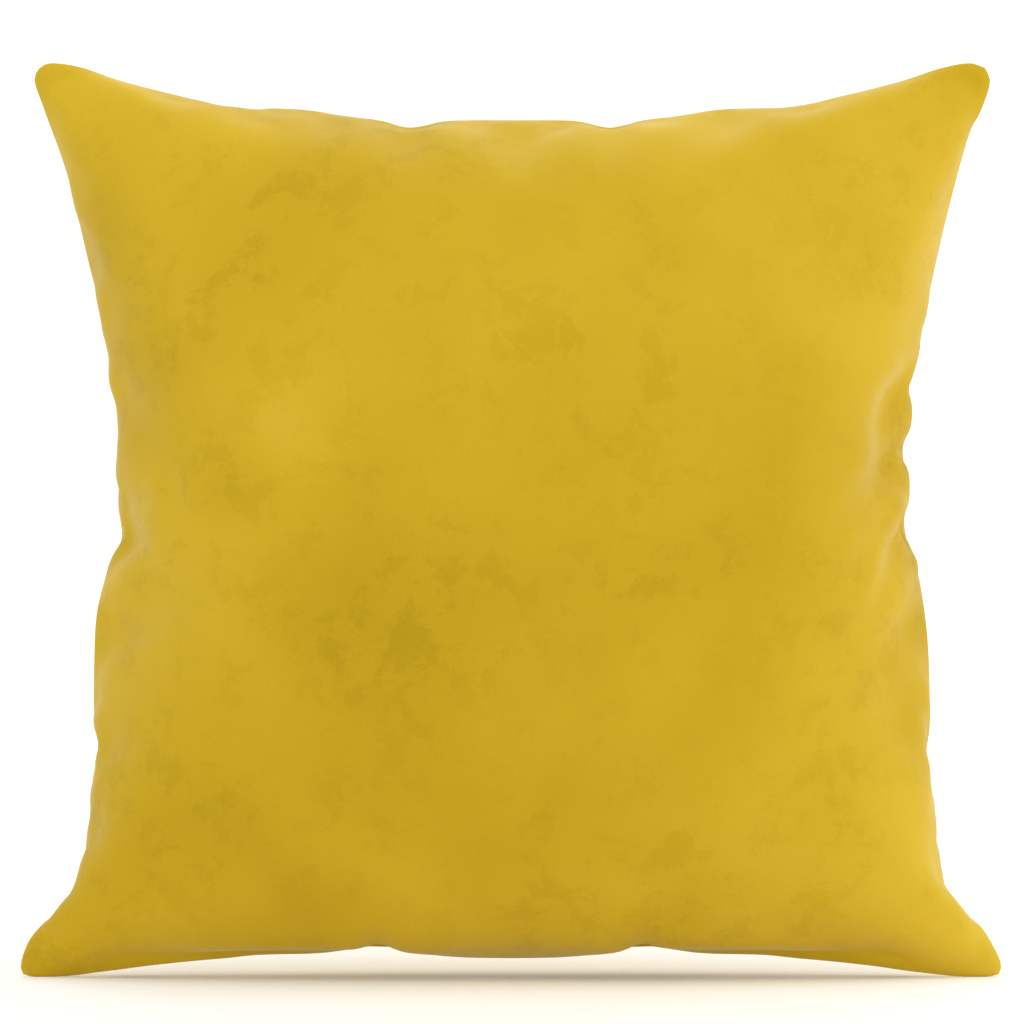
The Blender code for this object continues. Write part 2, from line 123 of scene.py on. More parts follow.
class PillowSize(bpy.types.PropertyGroup):
    cut: FloatProperty(
        name="Cut", description="Seam to seam of one panel laid flat", default=0.400, unit="LENGTH"
    )
    allowance: FloatProperty(
        name="Allowance", description="Cloth turned in beyond the seam", default=0.010, unit="LENGTH"
    )
    velvet: FloatProperty(name="Velvet", description="Thickness of the cover", default=0.0012, unit="LENGTH")
    seam_gap: FloatProperty(
        name="Seam gap", description="From the seam plane to either panel", default=0.00015, unit="LENGTH"
    )
    lip_gap: FloatProperty(
        name="Lip gap", description="Half the width of the zip's slot", default=0.0042, unit="LENGTH"
    )
    lips_part: FloatProperty(
        name="Lips part", description="Half the slot's length at full width", default=0.1535, unit="LENGTH"
    )
    lips_meet: FloatProperty(
        name="Lips meet", description="Where the slot has closed again", default=0.169, unit="LENGTH"
    )
    seam_inset: FloatProperty(
        name="Seam inset", description="From the folded edge to the lockstitch", default=0.007, unit="LENGTH"
    )
    stitch: FloatProperty(name="Stitch", description="Length of one stitch", default=0.003, unit="LENGTH")
    thread: FloatProperty(
        name="Thread", description="Radius of the sewing thread", default=0.0002, unit="LENGTH"
    )


class ClothSettings(bpy.types.PropertyGroup):
    cells: IntProperty(name="Cells", description="Grid cells along one side of a panel", default=72)
    frames: IntProperty(name="Frames", description="Frames until the cloth has settled", default=44)
    sewn_by: IntProperty(
        name="Sewn by", description="Frame at which the edges have reached the seam", default=16
    )
    mass: FloatProperty(name="Mass", description="Mass of one vertex in kilograms", default=0.25)
    pressure: FloatProperty(name="Pressure", description="Push of the fill on the cover", default=13.0)
    tension: FloatProperty(name="Tension", description="Resistance to stretch and compression", default=25.0)
    shear: FloatProperty(name="Shear", description="Resistance to shear", default=8.0)
    bending: FloatProperty(name="Bending", description="Resistance to bending", default=1.0)
    sag: FloatProperty(
        name="Sag", description="Share of gravity on the filled cover", default=0.02, subtype="FACTOR"
    )
    evening: IntProperty(name="Evening", description="Rounds that even out the middle of a face", default=30)
    margin: FloatProperty(
        name="Margin", description="Width of the creased strip beside the seam", default=0.055, unit="LENGTH"
    )


class InsertSize(bpy.types.PropertyGroup):
    cells: IntProperty(name="Cells", description="Grid cells along one side", default=48)
    margin: FloatProperty(
        name="Margin", description="From the cover's seam to the insert's", default=0.019, unit="LENGTH"
    )
    below: FloatProperty(
        name="Below", description="Room under the insert for the zip", default=0.024, unit="LENGTH"
    )
    puff: FloatProperty(
        name="Puff", description="From the seam plane to the crown", default=0.0715, unit="LENGTH"
    )
    clearance: FloatProperty(
        name="Clearance", description="Between cover and insert", default=0.0035, unit="LENGTH"
    )
    cotton: FloatProperty(name="Cotton", description="Thickness of the case", default=0.0005, unit="LENGTH")
    lumps: FloatProperty(
        name="Lumps", description="Depth of the hollows in the fill", default=0.0025, unit="LENGTH"
    )


class ZipSize(bpy.types.PropertyGroup):
    pitch: FloatProperty(
        name="Pitch", description="From one turn of the coil to the next", default=0.0014, unit="LENGTH"
    )
    wire: FloatProperty(name="Wire", description="Radius of the coil's nylon", default=0.00032, unit="LENGTH")
    coil: FloatProperty(name="Coil", description="Outer radius of the coil", default=0.00095, unit="LENGTH")
    edge: FloatProperty(
        name="Edge", description="Rounding of the cast pieces", default=0.00025, unit="LENGTH"
    )


SCENE_PROPERTIES = (
    ("pillow_size", PillowSize),
    ("pillow_cloth", ClothSettings),
    ("pillow_insert", InsertSize),
    ("pillow_zip", ZipSize),
)


# ---- Materials


def linear(code):
    """A linear RGBA colour from an sRGB hex code."""
    channels = [int(code[i : i + 2], 16) / 255 for i in (1, 3, 5)]
    return (*(c / 12.92 if c <= 0.04045 else ((c + 0.055) / 1.055) ** 2.4 for c in channels), 1.0)


def add_node(tree, kind, settings=None, **links):
    """Add a shader node. settings are attributes or sockets; links are sockets fed by another output."""
    made = tree.nodes.new(kind)
    for key, value in (settings or {}).items():
        if key in made.inputs:
            made.inputs[key].default_value = value
        else:
            setattr(made, key, value)
    for socket, output in links.items():
        tree.links.new(output, made.inputs[socket.replace("_", " ")])
    return made


def new_material(name, **sockets):
    """A Principled material with constant values on its sockets: (material, tree, shader)."""
    made = bpy.data.materials.new(name)
    made.use_nodes = True
    shader = made.node_tree.nodes["Principled BSDF"]
    for socket, value in sockets.items():
        shader.inputs[socket.replace("_", " ")].default_value = value
    return made, made.node_tree, shader


def ramp(tree, factor, stops):
    """A colour ramp over (position, hex colour) stops."""
    made = add_node(tree, "ShaderNodeValToRGB", Fac=factor)
    elements = made.color_ramp.elements
    while len(elements) < len(stops):
        elements.new(0.5)
    for element, (position, code) in zip(elements, stops):
        element.position = position
        element.color = linear(code)
    return made.outputs["Color"]


def noise_at(tree, vector, size_mm, detail=3.0, distortion=0.0, rough=0.5):
    """Noise whose blobs are about size_mm across, where the vector is in metres."""
    settings = {"Scale": 1000 / size_mm, "Detail": detail, "Distortion": distortion, "Roughness": rough}
    return add_node(tree, "ShaderNodeTexNoise", settings, Vector=vector).outputs["Fac"]


def math_node(tree, operation, first, second):
    """A math node on two values, each an output or a number."""
    made = add_node(tree, "ShaderNodeMath", {"operation": operation})
    for socket, value in zip(made.inputs, (first, second)):
        if isinstance(value, (int, float)):
            socket.default_value = value
        else:
            tree.links.new(value, socket)
    return made.outputs["Value"]


def scaled(tree, value, factor):
    """A value times a number."""
    return math_node(tree, "MULTIPLY", value, factor)


def object_place(tree):
    """The object's own coordinates, in metres."""
    return add_node(tree, "ShaderNodeTexCoord").outputs["Object"]


def cloth_place(tree):
    """The flat cloth's own coordinates, in metres."""
    return add_node(tree, "ShaderNodeUVMap", {"uv_map": "cloth"}).outputs["UV"]


def bump(tree, shader, height, depth_mm):
    """Feed a height, from 0 to 1, to the shader's normal as a bump of depth_mm."""
    made = add_node(tree, "ShaderNodeBump", {"Distance": depth_mm / 1000}, Height=height)
    tree.links.new(made.outputs["Normal"], shader.inputs["Normal"])


def velvet_material():
    """Cotton velvet, whose pile is brushed into paler and deeper clouds with ragged marks."""
    made, tree, shader = new_material(
        "cotton velvet, mustard", Roughness=0.88, Specular_IOR_Level=0.15, Sheen_Weight=0.5,
        Sheen_Roughness=0.4, Sheen_Tint=linear("#F3EAC4"),
    )
    place = object_place(tree)
    clouds = noise_at(tree, place, 120, detail=2.0, distortion=0.4)
    where = noise_at(tree, place, 75, detail=2.0)
    ragged = noise_at(tree, place, 19, detail=9.0, distortion=0.3, rough=0.74)
    pile = noise_at(tree, cloth_place(tree), 0.9, detail=2.0)
    edges = {"From Min": 0.50, "From Max": 0.60, "To Min": 0.0, "To Max": 1.0}
    edges["interpolation_type"] = "SMOOTHSTEP"
    marks = add_node(tree, "ShaderNodeMapRange", edges, Value=ragged).outputs["Result"]
    rarity = 0.25
    cloud_share, pile_share, mark_share, lift = 0.62, 0.12, 0.17, 0.16
    mark_relief = 1.2
    relief_mm = 0.14
    brushed = math_node(tree, "MULTIPLY", marks, math_node(tree, "SUBTRACT", where, rarity))
    mixed = math_node(tree, "ADD", scaled(tree, clouds, cloud_share), scaled(tree, pile, pile_share))
    mixed = math_node(tree, "ADD", mixed, lift)
    mixed = math_node(tree, "SUBTRACT", mixed, scaled(tree, brushed, mark_share))
    tones = ((0.34, "#BB9812"), (0.47, "#CAA61A"), (0.58, "#D3AF23"), (0.72, "#DCB932"))
    tree.links.new(ramp(tree, mixed, tones), shader.inputs["Base Color"])
    bump(tree, shader, math_node(tree, "ADD", pile, scaled(tree, brushed, mark_relief)), relief_mm)
    return made


def thread_material(name, light, dark, roughness=0.6):
    """Spun polyester thread: two plies that twist round each other."""
    made, tree, shader = new_material(name, Roughness=roughness, Sheen_Weight=0.2)
    place = object_place(tree)
    fine = noise_at(tree, place, 0.35, detail=2.0)
    tree.links.new(ramp(tree, fine, ((0.35, dark), (0.65, light))), shader.inputs["Base Color"])
    bump(tree, shader, fine, 0.05)
    return made


def woven_material(name, light, dark, band_mm, roughness, flat=True, sheen=0.1):
    """Woven cloth: raised bands both ways, band_mm apart, along the flat cloth or upright."""
    made, tree, shader = new_material(name, Roughness=roughness, Sheen_Weight=sheen)
    place = cloth_place(tree) if flat else object_place(tree)
    wave_scale = 50 * 2 * math.pi / band_mm  # at scale 1 the texture's bands are 2 pi / 20 m apart
    bands = []
    for direction in ("X", "Y" if flat else "Z"):
        settings = {"bands_direction": direction, "Scale": wave_scale}
        bands.append(add_node(tree, "ShaderNodeTexWave", settings, Vector=place).outputs["Fac"])
    weave = math_node(tree, "MULTIPLY", *bands)
    uneven = noise_at(tree, place, 0.6 * band_mm, detail=3.0)
    mixed = math_node(tree, "ADD", scaled(tree, weave, 0.5), scaled(tree, uneven, 0.5))
    tree.links.new(ramp(tree, mixed, ((0.2, dark), (0.7, light))), shader.inputs["Base Color"])
    bump(tree, shader, weave, 0.12)
    return made


def cast_material(name, light, dark, metallic, roughness):
    """A die-cast part, with the slight unevenness of its finish."""
    made, tree, shader = new_material(name, Roughness=roughness, Metallic=metallic, Specular_IOR_Level=0.5)
    place = object_place(tree)
    uneven = noise_at(tree, place, 3.0, detail=3.0)
    tree.links.new(ramp(tree, uneven, ((0.3, dark), (0.7, light))), shader.inputs["Base Color"])
    bump(tree, shader, uneven, 0.02)
    return made


def nylon_material():
    """Dyed nylon monofilament."""
    made, tree, shader = new_material(
        "nylon monofilament", Roughness=0.32, Coat_Weight=0.2, Coat_Roughness=0.3
    )
    place = object_place(tree)
    tone = noise_at(tree, place, 12, detail=2.0)
    tree.links.new(ramp(tree, tone, ((0.3, "#B8952A"), (0.7, "#CBA93C"))), shader.inputs["Base Color"])
    return made


def fibre_material():
    """Matted hollow polyester fibre."""
    made, tree, shader = new_material(
        "polyester fibre", Roughness=0.95, Sheen_Weight=0.6, Subsurface_Weight=0.1
    )
    place = object_place(tree)
    tufts = noise_at(tree, place, 14, detail=5.0, distortion=1.6)
    strands = noise_at(tree, place, 1.1, detail=4.0, distortion=2.5)
    tree.links.new(ramp(tree, tufts, ((0.3, "#DCDCD8"), (0.7, "#F4F4F0"))), shader.inputs["Base Color"])
    strand_share = 0.35
    bump(tree, shader, math_node(tree, "ADD", tufts, scaled(tree, strands, strand_share)), 1.2)
    return made


MATERIALS = {}


def material(name, make, *args):
    """The material of that short name, made the first time that it is asked for."""
    if name not in MATERIALS:
        MATERIALS[name] = make(*args)
    return MATERIALS[name]


def yellow_thread():
    """Sewing thread dyed to match the velvet."""
    return material("yellow thread", thread_material, "spun polyester, mustard", "#C7A227", "#9C7C10")


def white_thread():
    """Undyed sewing thread."""
    return material("white thread", thread_material, "spun polyester, white", "#EDEDE8", "#CFCFC8")


# ---- Outlines


def smooth_curve(points):
    """A Catmull-Rom curve through the points."""
    steps = 10
    points = [Vector(point) for point in points]
    ends = [2 * points[0] - points[1], *points, 2 * points[-1] - points[-2]]
    curve = []
    for before, start, end, after in zip(ends, ends[1:], ends[2:], ends[3:]):
        for step in range(steps):
            t = step / steps
            square = (2 * before - 5 * start + 4 * end - after) * t**2
            cube = (3 * start - before - 3 * end + after) * t**3
            curve.append(0.5 * (2 * start + (end - before) * t + square + cube))
    curve.append(points[-1])
    return curve


def measured(curve):
    """The curve with the distance run at each point."""
    run = [0.0]
    for start, end in zip(curve, curve[1:]):
        run.append(run[-1] + (end - start).length)
    return curve, run


def point_along(curve_and_run, fraction):
    """The point at a fraction of the curve's length."""
    curve, run = curve_and_run
    wanted = fraction * run[-1]
    after = next((i for i in range(1, len(run)) if run[i] >= wanted), len(run) - 1)
    share = (wanted - run[after - 1]) / (run[after] - run[after - 1])
    return curve[after - 1].lerp(curve[after], min(share, 1.0))


def sewn_edge(points, name):
    """One side of the seam in metres, drawn in at its puckers."""
    along, across = (0, 1) if name in ("top", "bottom") else (1, 0)
    inward = -1 if name in ("top", "right") else 1
    curve = []
    for point in smooth_curve(points):
        drawn = sum(
            depth * math.exp(-(((point[along] - place) / width) ** 2))
            for place, depth, width in PUCKERS[name]
        )
        point[across] += inward * drawn
        curve.append(point / 1000)
    return measured(curve)


OUTLINE = {
    name: sewn_edge(points, name)
    for name, points in (
        ("top", TOP_EDGE), ("bottom", BOTTOM_EDGE), ("left", LEFT_EDGE), ("right", RIGHT_EDGE),
    )
}


def seam_point(u, v):
    """x and z on the seam, where u or v is -1 or 1: u runs left to right, v bottom to top."""
    if abs(v) >= 1:
        return point_along(OUTLINE["top" if v > 0 else "bottom"], (1 + u) / 2)
    return point_along(OUTLINE["right" if u > 0 else "left"], (1 + v) / 2)


def face_point(u, v):
    """x and z anywhere between the four sides of the seam."""
    right = (1 + u) / 2
    upper = (1 + v) / 2
    point = upper * seam_point(u, 1) + (1 - upper) * seam_point(u, -1)
    point += right * seam_point(1, v) + (1 - right) * seam_point(-1, v)
    for corner_u, share_u in ((1, right), (-1, 1 - right)):
        for corner_v, share_v in ((1, upper), (-1, 1 - upper)):
            point -= share_u * share_v * seam_point(corner_u, corner_v)
    return point


def inset_point(u, v, inset):
    """x and z of a seam point moved in from the edge, with the corners cut off evenly."""
    point = seam_point(u, v)
    turn = 10
    on_u, on_v = abs(u) ** turn, abs(v) ** turn
    x = point.x - inset * (u * (1 - on_v) + u * abs(u) ** (turn - 1) * on_v)
    z = point.y - inset * (v * (1 - on_u) + v * abs(v) ** (turn - 1) * on_u)
    return x, max(z, inset)


def gap_at(size, x, v):
    """How far a panel's edge stands from the seam plane: further beside the zip."""
    if v > -1:
        return size.seam_gap
    share = min(1.0, max(0.0, (size.lips_meet - abs(x)) / (size.lips_meet - size.lips_part)))
    return size.seam_gap + (size.lip_gap - size.seam_gap) * share * share * (3 - 2 * share)


def around_seam(cells, corner=1.0):
    """The u and v of the seam from the bottom left corner round to the bottom right one."""
    steps = [2 * i / cells - 1 for i in range(cells + 1)]
    places = [(-1.0, v) for v in steps]
    places += [(u, 1.0) for u in steps[1:]]
    places += [(1.0, v) for v in reversed(steps[:-1])]
    return [(u, v) for u, v in places if min(abs(u), abs(v)) <= corner]


# ---- Shared modelling


def add_object(name, data, finish, smooth=False):
    """Put a mesh or a curve in the scene with its material."""
    data.materials.clear()
    data.materials.append(finish)
    if smooth:
        data.shade_smooth()
    made = bpy.data.objects.new(name, data)
    bpy.context.scene.collection.objects.link(made)
    return made


def mesh_of(name, bm):
    """A mesh from a bmesh, which is freed."""
    mesh = bpy.data.meshes.new(name)
    bm.to_mesh(mesh)
    bm.free()
    return mesh


def stand_in(made, node):
    """Tie a finished piece to the cushion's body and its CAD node."""
    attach(made, "cushion")
    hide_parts(node)


def thicken(made, name, thickness, offset=-1.0):
    """Give a sheet its thickness with a live modifier."""
    solid = made.modifiers.new(name, "SOLIDIFY")
    solid.thickness = thickness
    solid.offset = offset


def only(items, kind):
    """The items of one kind out of a bmesh operator's result."""
    return [item for item in items if isinstance(item, kind)]


def evaluated_mesh(made):
    """A new mesh of an object with its modifiers applied."""
    return bpy.data.meshes.new_from_object(made.evaluated_get(bpy.context.evaluated_depsgraph_get()))


def thread_object(name, points, radius, finish):
    """A thread through the points, as a mesh with closed ends."""
    curve = bpy.data.curves.new(name, "CURVE")
    curve.dimensions = "3D"
    curve.bevel_depth = radius
    curve.bevel_resolution = 1
    curve.use_fill_caps = True
    spline = curve.splines.new("POLY")
    spline.points.add(len(points) - 1)
    for target, point in zip(spline.points, points):
        target.co = (*point, 1)
    holder = bpy.data.objects.new(name, curve)
    bpy.context.scene.collection.objects.link(holder)
    bpy.context.view_layer.update()
    mesh = evaluated_mesh(holder)
    bpy.data.objects.remove(holder)
    bm = bmesh.new()
    bm.from_mesh(mesh)
    bmesh.ops.remove_doubles(bm, verts=bm.verts, dist=1e-7)
    bm.to_mesh(mesh)
    bm.free()
    return add_object(name, mesh, finish, smooth=True)


def cloth_grid(cells, width, side):
    """A square grid whose vertices keep u and v in the layer place, and whose UVs are in metres."""
    bm = bmesh.new()
    place = bm.verts.layers.float_vector.new("place")
    uv = bm.loops.layers.uv.new("cloth")
    bmesh.ops.create_grid(bm, x_segments=cells, y_segments=cells, size=1.0)
    for vert in bm.verts:
        vert[place] = round(vert.co.x, 6), round(vert.co.y, 6), 0
    for face in bm.faces:
        for loop in face.loops:
            loop[uv].uv = loop.vert.co.xy * width / 2
    if side == BACK:
        bmesh.ops.reverse_faces(bm, faces=bm.faces)
    return bm, place


# ---- The cover


def simulate_panel(size, cloth, side, cells, frames):
    """Pull a flat panel's edges to the seam while the fill pushes it out. Returns the settled mesh."""
    least_loft, crown_loft = 0.002, 0.012
    middle_z = 0.1845
    bm, place = cloth_grid(cells, size.cut, side)
    bm.verts.index_update()
    sewn = []
    sewn_indices = []
    for vert in bm.verts:
        u, v, _ = vert[place]
        on_edge = max(abs(u), abs(v)) >= 1
        x, z = face_point(u, v)
        depth = gap_at(size, x, v) if on_edge else 0.0
        sewn.append((x, side * depth, z))
        if on_edge:
            sewn_indices.append(vert.index)
        loft = least_loft + crown_loft * math.cos(math.pi / 2 * u) * math.cos(math.pi / 2 * v)
        loft = 0.0 if on_edge else loft
        vert.co = u * size.cut / 2, side * (depth + loft), middle_z + v * size.cut / 2
    panel = bpy.data.objects.new("panel", mesh_of("panel", bm))
    scene = bpy.context.scene
    scene.collection.objects.link(panel)
    panel.shape_key_add(name="flat")
    key = panel.shape_key_add(name="sewn")
    for point, place_sewn in zip(key.data, sewn):
        point.co = place_sewn
    for value, at in ((0.0, 1), (1.0, cloth.sewn_by)):
        key.value = value
        key.keyframe_insert("value", frame=at)
    seam = panel.vertex_groups.new(name="seam")
    seam.add(sewn_indices, 1.0, "REPLACE")
    modifier = panel.modifiers.new("cloth", "CLOTH")
    settings = modifier.settings
    settings.quality = 6
    settings.mass = cloth.mass
    settings.tension_stiffness = settings.compression_stiffness = cloth.tension
    settings.shear_stiffness = cloth.shear
    settings.bending_stiffness = cloth.bending
    settings.tension_damping = settings.compression_damping = settings.shear_damping = 8
    settings.bending_damping = 2
    settings.air_damping = 2
    settings.vertex_group_mass = "seam"
    settings.pin_stiffness = 1
    settings.use_pressure = True
    settings.uniform_pressure_force = cloth.pressure
    settings.effector_weights.gravity = cloth.sag
    modifier.collision_settings.use_collision = False
    modifier.collision_settings.use_self_collision = False
    modifier.point_cache.frame_start = 1
    modifier.point_cache.frame_end = frames
    smooth = panel.modifiers.new("smooth", "SUBSURF")
    smooth.levels = smooth.render_levels = 1
    smooth.boundary_smooth = "PRESERVE_CORNERS"
    scene.frame_start, scene.frame_end = 1, frames
    for now in range(1, frames + 1):
        scene.frame_set(now)
    settled = evaluated_mesh(panel)
    bpy.data.objects.remove(panel)
    scene.frame_set(1)
    return settled


def relax(bm, verts):
    """One round of smoothing."""
    bmesh.ops.smooth_vert(bm, verts=verts, factor=0.5, use_axis_x=True, use_axis_y=True, use_axis_z=True)


def even_middle(bm, place, cloth, cut):
    """Even out the cloth where the fill holds it taut, and leave the creases beside the seam."""
    free = [v for v in bm.verts if not v.is_boundary]
    shares = []
    for vert in free:
        u, v, _ = vert[place]
        from_edge = (1 - max(abs(u), abs(v))) * cut / 2
        share = min(1.0, from_edge / cloth.margin)
        shares.append(share * share * (3 - 2 * share))
    under = [v for v in free if v[place].y < UNDER_V]
    for _ in range(UNDER_ROUNDS):
        relax(bm, under)
    for _ in range(cloth.evening):
        before = [v.co.copy() for v in free]
        relax(bm, free)
        for vert, old, share in zip(free, before, shares):
            vert.co = old.lerp(vert.co, share)


def press_folds(bm):
    """Press the folds and dents into the front face. A fold has a ridge on either side."""
    bm.normal_update()
    creases = [(*fold, FOLD_RIDGE) for fold in FOLDS] + [(*dent, 0.0) for dent in DENTS]
    moves = []
    for vert in bm.verts:
        total = 0.0
        for x1, z1, x2, z2, depth, width, ridge_share in creases:
            start = Vector((x1, z1)) / 1000
            run = Vector((x2, z2)) / 1000 - start
            place = Vector((vert.co.x, vert.co.z)) - start
            along = place.dot(run) / run.length_squared
            across = (place.x * run.y - place.y * run.x) / run.length / (width / 1000)
            fade = math.exp(-END_FADE * along**3 if along > 0 else -START_FADE * along * along)
            valley = -math.exp(-across * across)
            ridge = ridge_share * math.exp(-((abs(across) - RIDGE_PLACE) ** 2))
            total += depth / 1000 * fade * (valley + ridge)
        moves.append(total)
    for vert, move in zip(bm.verts, moves):
        vert.co += vert.normal * move


def seam_place(vert, place):
    """u and v of a vertex on the seam, with the one that runs off its side at exactly 1 or -1."""
    nearly = 0.9999
    return [math.copysign(1.0, c) if abs(c) > nearly else c for c in vert[place].xy]


def hold_clear(size, bm, place, side):
    """Keep the cloth above the floor and outside its own allowance, with its edge on the seam."""
    air = 0.0002
    for vert in bm.verts:
        vert.co.z = max(vert.co.z, 0.0)
        if vert.is_boundary:
            u, v = seam_place(vert, place)
            x, z = seam_point(u, v)
            vert.co = x, side * gap_at(size, x, v), max(z, 0.0)
        else:
            below = -1.0 if vert[place].y < UNDER_V else 0.0
            least = gap_at(size, vert.co.x, below) + 2 * size.velvet + air
            vert.co.y = side * max(side * vert.co.y, least)


def split_corners(bm):
    """Cut each corner's face in two from its tip, so that the two edges there can fold apart."""
    for corner in [v for v in bm.verts if len(v.link_faces) == 1]:
        beside = {e.other_vert(corner) for e in corner.link_edges}
        across = [v for v in corner.link_faces[0].verts if v is not corner and v not in beside]
        bmesh.ops.connect_verts(bm, verts=[corner, *across])


def turn_in(size, bm, place, side):
    """Fold the allowance in from the edge, with a crease that the seam presses flat."""
    fold_width = size.velvet * 1.6
    edge = [e for e in bm.edges if e.is_boundary]
    for fold in edge:
        fold.smooth = False
    for inset in (fold_width, size.allowance):
        made = bmesh.ops.extrude_edge_only(bm, edges=edge)["geom"]
        for vert in only(made, bmesh.types.BMVert):
            u, v = seam_place(vert, place)
            x, z = inset_point(u, v, inset)
            vert.co = x, side * gap_at(size, seam_point(u, v).x, v), z
        edge = only(made, bmesh.types.BMEdge)


def finished_panel(size, cloth, side, name, finish):
    """A settled panel with its seam allowance turned in and the thickness of the velvet."""
    cells = cloth.cells
    frames = cloth.frames
    bm = bmesh.new()
    bm.from_mesh(simulate_panel(size, cloth, side, cells, frames))
    place = bm.verts.layers.float_vector["place"]
    even_middle(bm, place, cloth, size.cut)
    if side == FRONT:
        press_folds(bm)
    hold_clear(size, bm, place, side)
    split_corners(bm)
    turn_in(size, bm, place, side)
    for face in bm.faces:
        face.smooth = True
    panel = add_object(name, mesh_of(name, bm), finish)
    thicken(panel, "velvet", size.velvet)
    return panel


class PILLOW_OT_cover(bpy.types.Operator):
    """Sew and fill the two velvet panels"""

    bl_idname = "pillow.cover"
    bl_label = "Velvet cover"

    def execute(self, context):
        size = context.scene.pillow_size
        finish = material("velvet", velvet_material)
        for side, name in SIDES:
            panel = finished_panel(size, context.scene.pillow_cloth, side, f"velvet_{name}", finish)
            stand_in(panel, f"cover_{name}_panel")
        return {"FINISHED"}


# ---- The seam's threads


class PILLOW_OT_seam(bpy.types.Operator):
    """Sew the lockstitch and overlock the raw edges"""

    bl_idname = "pillow.seam"
    bl_label = "Seam threads"

    def execute(self, context):
        size = context.scene.pillow_size
        face = size.seam_gap + size.velvet
        self.lockstitch(size, face)
        self.overlock(size, face)
        return {"FINISHED"}

    def lockstitch(self, size, face):
        """The needle and bobbin threads, which dip into the cloth once a stitch."""
        dip = 0.0001
        per_stitch = 4
        route = seam_route(size.seam_inset)
        for side, name in ((FRONT, "needle"), (BACK, "bobbin")):
            points = []
            for number, (x, z) in enumerate(stations(route, size.stitch / per_stitch)):
                depth = face + size.thread if number % per_stitch else face - dip
                points.append((x, side * depth, z))
            made = thread_object(f"lockstitch_{name}", points, size.thread, yellow_thread())
            stand_in(made, f"seam_{name}_thread")

    def overlock(self, size, face):
        """A thread wound round the raw edges."""
        per_loop = 8
        pitch = 0.0028
        middle = -0.0012
        wrap = 0.0016
        fineness = 0.8
        points = []
        for number, (x, z, inward) in enumerate(stations_inward(size.allowance, pitch / per_loop)):
            turn = 2 * math.pi * number / per_loop
            depth = middle + wrap * math.cos(turn)
            across = (face + size.thread) * math.sin(turn)
            points.append((x + inward.x * depth, across, z + inward.y * depth))
        tones = "#CBA63A", "#A98820"
        finish = material("overlock", thread_material, "textured overlock thread", *tones, 0.75)
        made = thread_object("overlocked_edge", points, size.thread * fineness, finish)
        stand_in(made, "seam_edging")


def seam_route(inset):
    """x and z along the seam at one inset, from one end of the zip round to the other."""
    cells = 160
    corner = 0.96
    zip_end = 0.170
    steps = [2 * i / cells - 1 for i in range(cells + 1)]
    left = [(u, -1.0) for u in reversed(steps[: cells // 2])]
    right = [(u, -1.0) for u in reversed(steps[cells // 2 + 1 :])]
    places = left + around_seam(cells)[1:-1] + right
    route = []
    for u, v in places:
        x, z = inset_point(u, v, inset)
        if min(abs(u), abs(v)) <= corner and (v > -1 or abs(x) >= zip_end):
            route.append(Vector((x, z)))
    return route


def stations(route, spacing):
    """Points spaced evenly along a route."""
    line = measured(route)
    count = max(2, round(line[1][-1] / spacing))
    return [point_along(line, i / count) for i in range(count + 1)]


def stations_inward(inset, spacing):
    """x, z and the inward direction, spaced evenly along the seam at one inset."""
    points = stations(seam_route(inset), spacing)
    reach = 6
    found = []
    for index, point in enumerate(points):
        before = points[max(0, index - reach)]
        after = points[min(len(points) - 1, index + reach)]
        run = (after - before).normalized()
        inward = Vector((-run.y, run.x))
        if inward.dot(Vector(MIDDLE) - point) < 0:
            inward.negate()
        found.append((point.x, point.y, inward))
    return found


# ---- The insert


def crown(u, v):
    """How full the insert is, from 0 on its seam to 1 in the middle."""
    fullness = 0.6
    return (max(0.0, 1 - u * u) * max(0.0, 1 - v * v)) ** fullness


def insert_outline(size, u, v):
    """x and z of the insert: the cover's face, drawn in, with its sides and foot let out a little."""
    half_cut = 0.2
    reach_x = half_cut - size.margin
    drawn_in = 0.86
    let_out = 0.006
    point = face_point(u * drawn_in, v * drawn_in)
    x = point.x + u * let_out * (1 - v * v)
    z = point.y + v * let_out * (1 - u * u) + let_out * (1 - v)
    return max(-reach_x, min(reach_x, x)), max(size.below, z)


def cover_depths():
    """A lookup of the cover's depth on each side of the seam plane."""
    trees = {}
    for side, name in SIDES:
        mesh = bpy.data.objects[f"velvet_{name}"].data
        polygons = [p.vertices for p in mesh.polygons]
        trees[side] = BVHTree.FromPolygons([v.co for v in mesh.vertices], polygons)
    return trees


def insert_depth(trees, side, size, x, z, u, v, less):
    """How far the insert stands from the seam plane: its own fullness, held in by the cover."""
    own = size.puff * crown(u, v)
    hit = trees[side].ray_cast(Vector((x, side * RAY_START, z)), Vector((0, -side, 0)))[0]
    room = max(0.0, abs(hit.y) - size.clearance) if hit else 0.0
    nothing = 1e-6
    if own < nothing or room < nothing:
        return 0.0
    blend = 8
    return max(0.0, own * room / (own**blend + room**blend) ** (1 / blend) - less)


